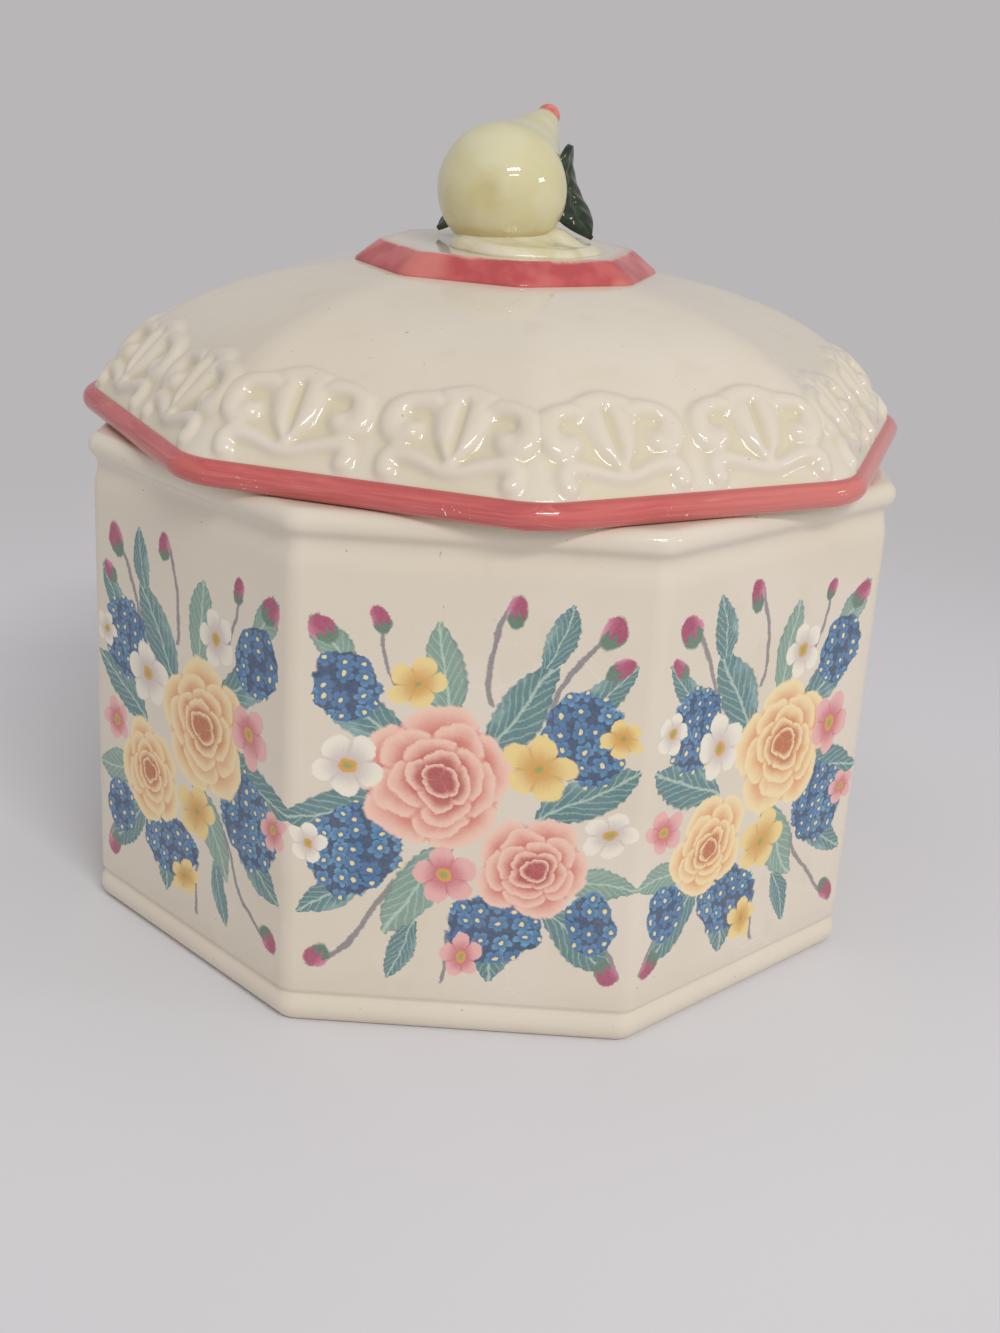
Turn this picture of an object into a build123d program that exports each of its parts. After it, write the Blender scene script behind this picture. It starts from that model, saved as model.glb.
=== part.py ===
"""Octagonal ceramic canister: a jar with a round mouth, and a domed lid with a pear for a knob.

Millimetres, +Z up. The origin is the middle of the foot, on the surface that the jar stands on.
The lid is modelled on the jar, turned a little from the jar's facets.
"""
import os
from itertools import product
from math import cos, radians, sin, tan

from build123d import *

# The octagon
SIDES = 8
STEP = 360 / SIDES
HALF_STEP = STEP / 2

# Jar
JAR_FLATS = 157.0
JAR_HEIGHT = 101.0
JAR_CORNER_RADIUS = 5.0
JAR_WALL = 5.5
JAR_FLOOR = 6.0
CAVITY_CORNER_RADIUS = 9.0
CAVITY_FLOOR_RADIUS = 5.0
CAVITY_SHOULDER_RADIUS = 4.0
NECK_DEPTH = 14.0
RIM_WIDTH = 9.5
MOUTH_EASE = 1.2

# Bead foot, with the groove above it and the recess below it
FOOT_HEIGHT = 5.8
FOOT_PROUD = 0.3
FOOT_INSET = 0.9
FOOT_GROOVE_DEPTH = 0.7
FOOT_GROOVE_HEIGHT = 1.0
FOOT_RING_WIDTH = 9.0
FOOT_RECESS = 1.5

# Bead at the rim, with the cove under it
BEAD_HEIGHT = 5.0
BEAD_PROUD = 1.05
BEAD_EASE = 1.5
COVE_HEIGHT = 4.0
COVE_DEPTH = 0.9

# Lid
LID_TURN = -15.8
LID_OVERHANG = 2.4
LID_CORNER_RADIUS = 16.0
LID_WALL = 5.0
SEAT_GAP = 0.1
ROLL_HEIGHT = 4.9
ROLL_DEPTH = 2.4
DOME_RISE = 27.8
RIDGE_RADIUS = 11.0
# The facets' slopes in degrees, and how far each slope pulls on the curve between them
FOOT_SLOPE = 52.0
FOOT_PULL = 17.5
HEAD_SLOPE = 10.0
HEAD_PULL = 32.5

# Locating flange under the lid, and the ring in its groove
FLANGE_DEPTH = 12.0
FLANGE_WALL = 4.0
FLANGE_GAP = 2.6
FLANGE_EASE = 1.2
SEAL_HEIGHT = 3.0
SEAL_SEATING = 1.4
SEAL_FIT = 0.15
SEAL_CLEARANCE = 0.3
SEAL_EASE = 1.0

# Shell reliefs: each is as wide as half of its facet, less the gap to its neighbour
SPRIG_GAP = 0.8
SPRIG_RISE = 10.2
RELIEF_LOW = 0.8
RELIEF_HIGH = 1.7
RELIEF_ROOT = 1.5
SCROLL_START = 165.0
SCROLL_SWEEP = -275.0
PETAL_LEAN = 14.0
# The relief's right half in shares of its width, from its middle: places, radii, lengths and widths
SPRIG_BED_SHARES = ((0.0, 0.10, 0.20), (0.30, 0.08, 0.19), (0.0, -0.12, 0.16))
SPRIG_BALL_SHARES = ((0.265, 0.01, 0.07), (0.43, -0.225, 0.055))
PETAL_MIDDLE_SHARES = (0.062, -0.01)
PETAL_SIZE_SHARES = (0.40, 0.13)
SCROLL_MIDDLE_SHARES = (0.30, 0.08)
SCROLL_RADIUS_SHARE = 0.145
SCROLL_WIDTH_SHARE = 0.09
ARM_SHARES = ((0.0, -0.255), (0.24, -0.16), (0.43, -0.215))
ARM_WIDTH_SHARE = 0.085

# Plinth under the finial
PLATE_FLATS = 58.6
PLATE_HEIGHT = 4.3
PLATE_BEVEL = 4.7
PLATE_CORNER_RADIUS = 2.5
PLATE_EASE = 0.6

# Pear, lying with its neck raised towards the back
PEAR_RADIUS = 13.0
PEAR_SINK = 1.6
PEAR_SHIFT = 5.8
PEAR_TILT = 30.0
PEAR_SHOULDER = 60.0
NECK_HEADING = -5.0
NECK_REACH = 24.5
NECK_RADIUS = 3.1
BLOSSOM_HEADING = 4.6
BLOSSOM_RADIUS = 2.0
BLOSSOM_DEPTH = 0.8
STEM_RADIUS = 2.5
STEM_LENGTH = 4.6

# Pad under the pear, set off from the plate's middle
PAD_DIAMETER = 31.0
PAD_HEIGHT = 2.2
PAD_EASE = 1.8
PAD_TO_RIGHT = 5.0
PAD_TO_FRONT = 5.0

# Leaves, one on each side of the pear: the right one ends on the pad's rim, the left one on the plate
LEAF_HEAD = 20.6
LEAF_WIDTH = 11.0
LEAF_THICKNESS = 1.8
LEAF_TOP_OUT = 9.7
LEAF_TOP_BACK = 4.0
LEAF_WAIST_OUT = -0.5
LEAF_TIP_OUT = 6.3
RIGHT_LEAF_GROUND = 1.2
LEFT_LEAF_GROUND = 0.0

# Heights and radii that follow from the sizes above
mouth_radius = JAR_FLATS / 2 - RIM_WIDTH
seat = JAR_HEIGHT + SEAT_GAP
lid_flats = JAR_FLATS + 2 * LID_OVERHANG
skirt_flats = lid_flats - 2 * ROLL_DEPTH
skirt_corner_radius = LID_CORNER_RADIUS - ROLL_DEPTH
roll_top = seat + ROLL_HEIGHT
dome_top = roll_top + DOME_RISE
plate_top = dome_top + PLATE_HEIGHT
flange_radius = mouth_radius - FLANGE_GAP
flange_bore = flange_radius - FLANGE_WALL
flange_foot = seat - FLANGE_DEPTH
seal_level = seat - FLANGE_DEPTH / 2


def level(height):
    """The level plane at a height, turned as the lid is."""
    return Plane((0, 0, height)).rotated((0, 0, LID_TURN))


def upright(turn):
    """The upright plane through the lid's axis, with its x direction at a turn from the jar's."""
    x_dir = Vector(1, 0, 0).rotate(Axis.Z, turn)
    return Plane((0, 0, 0), x_dir=x_dir, z_dir=x_dir.cross(Vector(0, 0, 1)))


def octagon(across_flats, corner_radius):
    """An octagon with rounded corners, and flats square to the sketch's axes."""
    with BuildSketch(Plane.XY, mode=Mode.PRIVATE) as outline:
        RegularPolygon(across_flats / 2, SIDES, major_radius=False, rotation=HALF_STEP)
        fillet(outline.vertices(), corner_radius)
    return outline.sketch


def facet_line(inset, foot, top):
    """The curve of a facet between two heights, set in from the dome's outside, in an upright plane."""
    start = Vector(skirt_flats / 2 - inset, foot)
    end = Vector(PLATE_FLATS / 2 - inset, top)
    start_pull = Vector(-FOOT_PULL, 0).rotate(Axis.Z, -FOOT_SLOPE)
    end_pull = Vector(HEAD_PULL, 0).rotate(Axis.Z, -HEAD_SLOPE)
    return Bezier(start, start + start_pull, end + end_pull, end)


def vault(inset, foot, top):
    """The solid under the eight curved facets, set in from the dome's outside, between two heights."""
    with BuildPart() as solid:
        for facet in range(SIDES // 2):
            with BuildSketch(upright(LID_TURN + facet * STEP)):
                with BuildLine():
                    Line((0, foot), (skirt_flats / 2 - inset, foot))
                    facet_line(inset, foot, top)
                    Line((PLATE_FLATS / 2 - inset, top), (0, top))
                    mirror(about=Plane.YZ)
                make_face()
            extrude(amount=lid_flats, both=True, mode=Mode.INTERSECT if facet else Mode.ADD)
    return solid.part


# Directions and planes of the finial, and the middle of a relief on its facet
lid_right = Vector(1, 0, 0).rotate(Axis.Z, LID_TURN)
lid_back = Vector(0, 1, 0).rotate(Axis.Z, LID_TURN)
lid_up = Vector(0, 0, 1)
neck_back = lid_back.rotate(Axis.Z, NECK_HEADING)
pear_axis = neck_back * cos(radians(PEAR_TILT)) + lid_up * sin(radians(PEAR_TILT))
pear_middle = lid_up * (plate_top + PEAR_RADIUS - PEAR_SINK) - lid_back * PEAR_SHIFT
pear_plane = Plane(pear_middle, x_dir=pear_axis, z_dir=neck_back.cross(lid_up))
blossom_front = -lid_back.rotate(Axis.Z, BLOSSOM_HEADING)
facet_curve = facet_line(0, roll_top, dome_top)
sprig_middle = facet_curve.position_at(SPRIG_RISE, position_mode=PositionMode.LENGTH)
sprig_slope = facet_curve.tangent_at(SPRIG_RISE, position_mode=PositionMode.LENGTH)
sprig_width = sprig_middle.X * tan(radians(HALF_STEP)) - SPRIG_GAP


def sprig_plane(turn, side):
    """The plane that touches a facet in the middle of one of its two reliefs, with y up the facet."""
    out = Vector(1, 0, 0).rotate(Axis.Z, turn)
    along = Vector(0, 1, 0).rotate(Axis.Z, turn)
    across = side * (sprig_width + SPRIG_GAP) / 2
    middle = out * sprig_middle.X + along * across + lid_up * sprig_middle.Y
    return Plane(middle, x_dir=along, z_dir=out * sprig_slope.Y - lid_up * sprig_slope.X)


def sprig_bed():
    """The low bed of a relief: overlapping discs with a scalloped outline."""
    with BuildSketch(Plane.XY, mode=Mode.PRIVATE) as bed:
        for x, y, radius in SPRIG_BED_SHARES:
            with Locations((x, y)):
                Circle(radius)
        mirror(about=Plane.YZ)
        scale(by=sprig_width)
    return bed.sketch


def sprig_lines():
    """The raised lines of a relief: two scrolls with balls, two petals, and two arms with bulbs."""
    with BuildSketch(Plane.XY, mode=Mode.PRIVATE) as lines:
        for x, y, radius in SPRIG_BALL_SHARES:
            with Locations((x, y)):
                Circle(radius)
        with Locations(PETAL_MIDDLE_SHARES):
            SlotOverall(*PETAL_SIZE_SHARES, rotation=90 - PETAL_LEAN)
        with BuildLine(mode=Mode.PRIVATE) as scroll:
            CenterArc(SCROLL_MIDDLE_SHARES, SCROLL_RADIUS_SHARE, SCROLL_START, SCROLL_SWEEP)
        SlotArc(scroll.edge(), SCROLL_WIDTH_SHARE)
        with BuildLine(mode=Mode.PRIVATE) as arm:
            ThreePointArc(*ARM_SHARES)
        SlotArc(arm.edge(), ARM_WIDTH_SHARE)
        mirror(about=Plane.YZ)
        scale(by=sprig_width)
    return lines.sketch


# Inside of the jar, below its round neck
with BuildPart() as cavity:
    with BuildSketch(Plane.XY.offset(JAR_FLOOR)):
        add(octagon(JAR_FLATS - 2 * JAR_WALL, CAVITY_CORNER_RADIUS))
    extrude(amount=JAR_HEIGHT - NECK_DEPTH - JAR_FLOOR)
    fillet(cavity.faces().sort_by(Axis.Z)[0].edges(), CAVITY_FLOOR_RADIUS)
    fillet(cavity.faces().sort_by(Axis.Z)[-1].edges(), CAVITY_SHOULDER_RADIUS)

# Jar: a wall swept round the octagon, filled in and hollowed
with BuildPart() as jar_body:
    wall = JAR_FLATS / 2
    core = wall - JAR_CORNER_RADIUS / 2
    bead_foot = JAR_HEIGHT - BEAD_HEIGHT
    foot_edge = (wall - FOOT_INSET, 0)
    foot_groove = (wall - FOOT_GROOVE_DEPTH, FOOT_HEIGHT)
    wall_foot = (wall, FOOT_HEIGHT + FOOT_GROOVE_HEIGHT)
    wall_head = (wall, bead_foot - COVE_HEIGHT)
    cove = (wall - COVE_DEPTH, bead_foot)
    rim_edge = (wall - BEAD_EASE, JAR_HEIGHT)
    with BuildSketch(upright(0)):
        with BuildLine():
            Line((core, 0), foot_edge)
            ThreePointArc(foot_edge, (wall + FOOT_PROUD, FOOT_HEIGHT / 2), foot_groove)
            Line(foot_groove, wall_foot)
            Line(wall_foot, wall_head)
            TangentArc(wall_head, cove, tangent=(0, 1))
            ThreePointArc(cove, (wall + BEAD_PROUD, bead_foot + BEAD_HEIGHT / 2), rim_edge)
            Line(rim_edge, (core, JAR_HEIGHT))
            Line((core, JAR_HEIGHT), (core, 0))
        make_face()
    sweep(path=octagon(JAR_FLATS, JAR_CORNER_RADIUS).face().outer_wire())
    with BuildSketch():
        add(octagon(core + wall - BEAD_EASE, JAR_CORNER_RADIUS))
    extrude(amount=JAR_HEIGHT)
    add(cavity.part, mode=Mode.SUBTRACT)
    with BuildSketch(Plane.XY.offset(JAR_HEIGHT)):
        Circle(mouth_radius)
    extrude(amount=-NECK_DEPTH, mode=Mode.SUBTRACT)
    mouth_edge = jar_body.edges().filter_by(GeomType.CIRCLE).group_by(SortBy.RADIUS)[-1].sort_by(Axis.Z)[-1]
    fillet(mouth_edge, MOUTH_EASE)
    with BuildSketch():
        add(octagon(JAR_FLATS - 2 * FOOT_RING_WIDTH, JAR_CORNER_RADIUS))
    extrude(amount=FOOT_RECESS, mode=Mode.SUBTRACT)

# Outside of the dome, with softened ridges, and the hollow inside it
with BuildPart() as dome:
    add(vault(0, roll_top, dome_top))
    fillet(dome.edges().filter_by(GeomType.LINE, reverse=True), RIDGE_RADIUS)
hollow = vault(LID_WALL, seat + LID_WALL, dome_top - LID_WALL)

# Lid: the dome on a short skirt, with a round flange that the ring's groove goes round
with BuildPart() as lid_shell:
    add(dome.part)
    with BuildSketch(level(seat)):
        add(octagon(skirt_flats, skirt_corner_radius))
    extrude(amount=ROLL_HEIGHT)
    add(hollow, mode=Mode.SUBTRACT)
    with BuildSketch(level(flange_foot)):
        Circle(flange_radius)
    extrude(amount=FLANGE_DEPTH)
    fillet(lid_shell.faces().sort_by(Axis.Z)[0].edges(), FLANGE_EASE)
    with BuildSketch(level(flange_foot)):
        Circle(flange_bore)
    extrude(amount=FLANGE_DEPTH + LID_WALL, mode=Mode.SUBTRACT)
    with BuildSketch(level(seal_level)):
        Circle(flange_radius)
        Circle(flange_radius - SEAL_SEATING, mode=Mode.SUBTRACT)
    extrude(amount=SEAL_HEIGHT / 2 + SEAL_FIT, both=True, mode=Mode.SUBTRACT)

# Flexible ring in the flange's groove, just clear of the mouth
with BuildPart() as seal_ring:
    with BuildSketch(level(seal_level)):
        Circle(mouth_radius - SEAL_CLEARANCE)
        Circle(flange_radius - SEAL_SEATING + SEAL_FIT, mode=Mode.SUBTRACT)
    extrude(amount=SEAL_HEIGHT / 2, both=True)
    fillet(seal_ring.edges().filter_by(GeomType.CIRCLE).group_by(SortBy.RADIUS)[-1], SEAL_EASE)

# Half-round roll along the lid's edge
with BuildPart() as lid_roll:
    with BuildSketch(level(seat), mode=Mode.PRIVATE) as roll_path:
        add(octagon(lid_flats, LID_CORNER_RADIUS))
    with BuildSketch(upright(LID_TURN)):
        with BuildLine():
            roll_edge = (lid_flats / 2, seat + ROLL_HEIGHT / 2)
            roll = ThreePointArc((skirt_flats / 2, seat), roll_edge, (skirt_flats / 2, roll_top))
            Line(roll @ 1, roll @ 0)
        make_face()
    sweep(path=roll_path.sketch.face().outer_wire())

# Plinth on top of the dome
with BuildPart() as knob_plate:
    with BuildSketch(level(dome_top)):
        add(octagon(PLATE_FLATS, PLATE_CORNER_RADIUS))
    with BuildSketch(level(plate_top)):
        add(octagon(PLATE_FLATS - 2 * PLATE_BEVEL, PLATE_CORNER_RADIUS))
    loft()
    fillet(knob_plate.faces().sort_by(Axis.Z)[-1].edges(), PLATE_EASE)

# Pear: a ball drawn out into a neck, flat where it stands, with a dimple at its blossom end
with BuildPart() as pear:
    shoulder = Vector(PEAR_RADIUS, 0).rotate(Axis.Z, PEAR_SHOULDER)
    with BuildSketch(pear_plane):
        with BuildLine():
            CenterArc((0, 0), PEAR_RADIUS, PEAR_SHOULDER, 180 - PEAR_SHOULDER)
            TangentArc(shoulder, (NECK_REACH, NECK_RADIUS), tangent=(shoulder.Y, -shoulder.X))
            Line((NECK_REACH, NECK_RADIUS), (NECK_REACH, 0))
            Line((NECK_REACH, 0), (-PEAR_RADIUS, 0))
        make_face()
    revolve(axis=Axis(pear_middle, pear_axis))
    split(bisect_by=level(plate_top), keep=Keep.TOP)
    with Locations(pear_middle + blossom_front * (PEAR_RADIUS + BLOSSOM_RADIUS - BLOSSOM_DEPTH)):
        Sphere(BLOSSOM_RADIUS, mode=Mode.SUBTRACT)

# Stem tip on the end of the neck
with BuildPart() as pear_stem:
    stem_head = NECK_REACH + STEM_LENGTH - STEM_RADIUS
    with BuildSketch(pear_plane):
        with BuildLine():
            Line((NECK_REACH, 0), (NECK_REACH, STEM_RADIUS))
            Line((NECK_REACH, STEM_RADIUS), (stem_head, STEM_RADIUS))
            CenterArc((stem_head, 0), STEM_RADIUS, 0, 90)
            Line((stem_head + STEM_RADIUS, 0), (NECK_REACH, 0))
        make_face()
    revolve(axis=Axis(pear_middle, pear_axis))

# Low pad, which the pear is set into
with BuildPart() as finial_pad:
    with BuildSketch(level(plate_top)):
        with Locations((PAD_TO_RIGHT, -PAD_TO_FRONT)):
            Circle(PAD_DIAMETER / 2)
    extrude(amount=PAD_HEIGHT)
    fillet(finial_pad.faces().sort_by(Axis.Z)[-1].edges(), PAD_EASE)
    add(pear.part, mode=Mode.SUBTRACT)


def leaf(side, ground):
    """A curved leaf at one side of the pear, down to a height above the plate, cut where it lies on others."""
    leaf_out = lid_right * side
    leaf_foot = lid_up * plate_top + leaf_out * LEAF_TOP_OUT + lid_back * LEAF_TOP_BACK
    leaf_plane = Plane(leaf_foot, x_dir=leaf_out, z_dir=leaf_out.cross(lid_up))
    leaf_middle = (LEAF_HEAD + ground) / 2
    with BuildPart() as blade:
        with BuildSketch(leaf_plane):
            with BuildLine():
                front = ThreePointArc((0, LEAF_HEAD), (LEAF_WAIST_OUT, leaf_middle), (LEAF_TIP_OUT, ground))
                back = ThreePointArc(*[front @ place + (LEAF_THICKNESS, 0) for place in (0, 0.5, 1)])
                Line(front @ 0, back @ 0)
                Line(front @ 1, back @ 1)
            make_face()
        extrude(amount=LEAF_WIDTH, both=True)
        with BuildSketch(Plane(leaf_foot, x_dir=leaf_plane.z_dir, z_dir=-leaf_out)):
            with BuildLine():
                ThreePointArc((0, ground), (LEAF_WIDTH / 2, leaf_middle), (0, LEAF_HEAD))
                ThreePointArc((0, ground), (-LEAF_WIDTH / 2, leaf_middle), (0, LEAF_HEAD))
            make_face()
        extrude(amount=LEAF_TIP_OUT + 2 * LEAF_THICKNESS, both=True, mode=Mode.INTERSECT)
        for neighbour in (pear, finial_pad):
            add(neighbour.part, mode=Mode.SUBTRACT)
    return blade


nodes = {
    "jar_body": jar_body,
    "seal_ring": seal_ring,
    "lid_shell": lid_shell,
    "lid_roll": lid_roll,
    "knob_plate": knob_plate,
    "finial_pad": finial_pad,
    "pear": pear,
    "pear_stem": pear_stem,
    "leaf_right": leaf(1, RIGHT_LEAF_GROUND),
    "leaf_left": leaf(-1, LEFT_LEAF_GROUND),
}

# Shell reliefs, two on each facet: a low bed under scrolls, petals and arms, cut to lie on the dome
for number, (facet, side) in enumerate(product(range(SIDES), (-1, 1)), start=1):
    turn = LID_TURN + facet * STEP
    root = sprig_plane(turn, side).offset(-RELIEF_ROOT)
    ridge = upright(turn + side * HALF_STEP).offset(side * SPRIG_GAP / 2)
    with BuildPart() as sprig:
        with BuildSketch(root):
            add(sprig_bed())
        extrude(amount=RELIEF_ROOT + RELIEF_LOW)
        with BuildSketch(root):
            add(sprig_lines())
        extrude(amount=RELIEF_ROOT + RELIEF_HIGH)
        add(dome.part, mode=Mode.SUBTRACT)
        split(bisect_by=ridge, keep=Keep.TOP if side > 0 else Keep.BOTTOM)
    nodes[f"shell_sprig_{number:02d}"] = sprig

os.makedirs("parts", exist_ok=True)
for name, node in nodes.items():
    node.part.label = name
    export_step(node.part, f"parts/{name}.step")
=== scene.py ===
"""Looks of the octagonal ceramic canister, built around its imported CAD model."""
from math import cos, pi, radians, sin, tan

import bpy
import numpy as np
from mathutils import Matrix, Vector


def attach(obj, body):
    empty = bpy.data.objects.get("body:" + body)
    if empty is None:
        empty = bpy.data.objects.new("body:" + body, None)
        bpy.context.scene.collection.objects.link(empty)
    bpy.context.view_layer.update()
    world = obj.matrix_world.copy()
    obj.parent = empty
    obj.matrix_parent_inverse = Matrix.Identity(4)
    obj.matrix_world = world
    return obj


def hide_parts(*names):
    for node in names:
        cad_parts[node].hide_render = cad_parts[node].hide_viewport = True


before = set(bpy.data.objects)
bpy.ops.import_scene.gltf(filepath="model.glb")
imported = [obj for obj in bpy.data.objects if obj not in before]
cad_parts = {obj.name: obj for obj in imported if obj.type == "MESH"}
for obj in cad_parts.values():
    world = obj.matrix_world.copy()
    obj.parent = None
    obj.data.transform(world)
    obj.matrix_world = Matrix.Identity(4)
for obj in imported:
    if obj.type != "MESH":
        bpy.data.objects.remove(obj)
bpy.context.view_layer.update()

# Sizes in millimetres, the same as the CAD model's where it has them
MM = 0.001
SIDES = 8
STEP = 2 * pi / SIDES
HALF_STEP = STEP / 2
LEAST_CORNER = 2.0

# Jar
JAR_OUT = 78.5
JAR_HEIGHT = 101.0
JAR_CORNER = 5.0
JAR_FLOOR = 6.0
JAR_WALL = 5.5
RIM_WIDTH = 9.5
NECK_DEPTH = 14.0
CAVITY_OUT = JAR_OUT - JAR_WALL
CAVITY_CORNER = 9.0
FLOOR_HUB = 15.0
MOUTH_RADIUS = JAR_OUT - RIM_WIDTH
NECK_FOOT = JAR_HEIGHT - NECK_DEPTH

# Lid
LID_TURN = radians(-15.8)
SEAT_GAP = 0.1
ROLL_HEIGHT = 4.9
ROLL_DEPTH = 2.4
ROLL_CORNER = 16.0
LID_OVERHANG = 2.4
SEAT = JAR_HEIGHT + SEAT_GAP
ROLL_TOP = SEAT + ROLL_HEIGHT
ROLL_OUT = JAR_OUT + LID_OVERHANG
SKIRT_OUT = ROLL_OUT - ROLL_DEPTH
SKIRT_CORNER = ROLL_CORNER - ROLL_DEPTH
SKIRT_TUCK = 0.5
RIDGE_CORNER = 9.0
RIDGE_RUN = 6.0
LID_WALL = 5.0
DOME_RISE = 27.8
DOME_TOP = ROLL_TOP + DOME_RISE
DOME_HUB = 8.0
HOLLOW_CORNER = 3.0
HOLLOW_HUB = 10.0
FLANGE_GAP = 2.6
FLANGE_WALL = 4.0
FLANGE_DEPTH = 12.0
FLANGE_RADIUS = MOUTH_RADIUS - FLANGE_GAP
FLANGE_BORE = FLANGE_RADIUS - FLANGE_WALL
FLANGE_FOOT = SEAT - FLANGE_DEPTH
SEAL_LEVEL = FLANGE_FOOT + FLANGE_DEPTH / 2
SEAL_HALF = 1.65
SEAL_SEATING = 1.4

# A facet's curve: how far and how steeply it leaves the roll and reaches the plate
FOOT_PULL = 17.5
FOOT_SLOPE = radians(52)
HEAD_PULL = 32.5
HEAD_SLOPE = radians(10)

# Plinth and pad
PLATE_OUT = 29.3
PLATE_BEVEL = 4.7
PLATE_HEIGHT = 4.3
PLATE_TOP_OUT = PLATE_OUT - PLATE_BEVEL
PLATE_TOP = DOME_TOP + PLATE_HEIGHT
PLATE_CORNER = 8.0
PLATE_HUB = 9.0
PAD_RADIUS = 15.5
PAD_HEIGHT = 2.2
PAD_SINK = 0.4
PAD_HUB = 6.0
PAD_THINNING = 0.5
LUMP_HEIGHT = 0.8
LUMP_REACH = 3.5
FILLET_HEIGHT = 0.5
FILLET_REACH = 2.0

# Pear and stem
PEAR_RADIUS = 13.0
PEAR_SHOULDER = radians(60)
PEAR_FOOT = 9.5
DIMPLE_DEPTH = 0.45
DIMPLE_REACH = 2.2
WAVER_DEPTH = 0.12
WAVER_ACROSS = 3.1
WAVER_UP = 2.7
NECK_REACH = 24.5
NECK_RADIUS = 3.1
NECK_PULL = 6.0
NECK_FLARE = 2.3
STEM_RADIUS = 2.5
STEM_END = 29.1

# Leaves
LEAF_HEAD = 20.6
LEAF_WAIST_OUT = -0.5
LEAF_TIP_OUT = 6.3
LEAF_HALF_WIDTH = 5.9
LEAF_THICKNESS = 2.5
LEAF_EDGE_SHARE = 0.25
LEAF_TWIST = radians(40)
LEAF_TWIST_POWER = 1.5
LEAF_TIP_POWER = 1.15
LEAST_LEAF_HEAD = 0.01
LEAST_LEAF_TIP = 0.04
RIGHT_LEAF_WIDEST = 0.62
LEFT_LEAF_WIDEST = 0.74
RIGHT_LEAF_GROUND = 1.2
LEFT_LEAF_GROUND = 0.3
VEIN_COUNT = 6
VEIN_SLANT = 0.9
VEIN_HEIGHT = 0.2
RIB_DEPTH = 0.6
RIB_REACH = 0.6

# Directions of the finial
NECK_HEADING = radians(-5)
NECK_RISE = radians(30)
BLOSSOM_HEADING = radians(4.6)


def turned(direction, angle):
    """A direction turned about the upright axis."""
    return Matrix.Rotation(angle, 3, "Z") @ direction


def on_plate(right, back, rise=0.0):
    """A place on the plate, to the right and to the back of the lid's middle, and up."""
    return lid_right * right + lid_back * back + up * (PLATE_TOP + rise)


up = Vector((0, 0, 1))
lid_right = turned(Vector((1, 0, 0)), LID_TURN)
lid_back = turned(Vector((0, 1, 0)), LID_TURN)
pear_axis = turned(lid_back, NECK_HEADING) * cos(NECK_RISE) + up * sin(NECK_RISE)
blossom_front = turned(-lid_back, BLOSSOM_HEADING)
pear_middle = on_plate(0, -5.8, 11.4)
pad_middle = on_plate(5, -5)
pad_lump = on_plate(12.5, -4)
leaf_foot = on_plate(9.7, 4)


# Outlines and profiles

def arc(start, through, end, steps):
    """The arc from one point through a second to a third, as points after the first."""
    a, b, c = (complex(*point) for point in (start, through, end))
    ratio = (c - a) / (b - a)
    middle = a + (b - a) * (ratio - abs(ratio) ** 2) / (2j * ratio.imag)
    sweep = np.angle((c - middle) / (a - middle))
    spots = [middle + (a - middle) * np.exp(1j * sweep * step / steps) for step in range(1, steps + 1)]
    return [(spot.real, spot.imag) for spot in spots]


def bezier(points, shares):
    """A cubic Bezier curve's points at shares of its parameter."""
    a, b, c, d = (np.array(point, float) for point in points)
    t = np.asarray(shares)[:, None]
    return a * (1 - t) ** 3 + 3 * b * t * (1 - t) ** 2 + 3 * c * t ** 2 * (1 - t) + d * t ** 3


def moved(points, first, second):
    """The points of a stretch of a profile, moved to where it belongs."""
    return [(x + first, y + second) for x, y in points]


def divided(profile, longest):
    """A profile with its long stretches divided."""
    points = [np.array(profile[0], float)]
    for end in profile[1:]:
        start = points[-1]
        count = max(1, int(np.ceil(np.linalg.norm(np.array(end) - start) / longest)))
        points += [start + (np.array(end) - start) * part / count for part in range(1, count + 1)]
    return points


class Octagon:
    """The points round an octagon with rounded corners, each with its way out and its facet place."""

    def __init__(self, apothem, corner, flats, arcs, turn=0.0):
        half_flat = (apothem - corner) * tan(HALF_STEP)
        flat = half_flat * np.linspace(-1, 1, flats, endpoint=False)
        bend = np.linspace(0, STEP, arcs, endpoint=False)
        out = np.concatenate([np.full(flats, apothem), apothem - corner + corner * np.cos(bend)])
        along = np.concatenate([flat, half_flat + corner * np.sin(bend)])
        before = half_flat + corner * bend
        after = -half_flat - corner * (STEP - bend)
        heading = np.repeat(turn + STEP * np.arange(SIDES), flats + arcs)
        out, along = np.tile(out, SIDES), np.tile(along, SIDES)
        facing = heading + np.tile(np.concatenate([np.zeros(flats), bend]), SIDES)
        self.x = out * np.cos(heading) - along * np.sin(heading)
        self.y = out * np.sin(heading) + along * np.cos(heading)
        self.ways = np.stack([np.cos(facing), np.sin(facing)], 1)
        self.place = np.tile(np.concatenate([flat, np.where(bend < HALF_STEP, before, after)]), SIDES)
        self.half_side = half_flat + corner * HALF_STEP

    def ring(self, height):
        return np.stack([self.x, self.y, np.full(len(self.x), height)], 1)

    def circle(self, radius, height):
        """A circle whose points stand at the same headings."""
        heading = np.arctan2(self.y, self.x)
        return np.stack([radius * np.cos(heading), radius * np.sin(heading),
                         np.full(len(heading), height)], 1)


# Meshes

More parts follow.
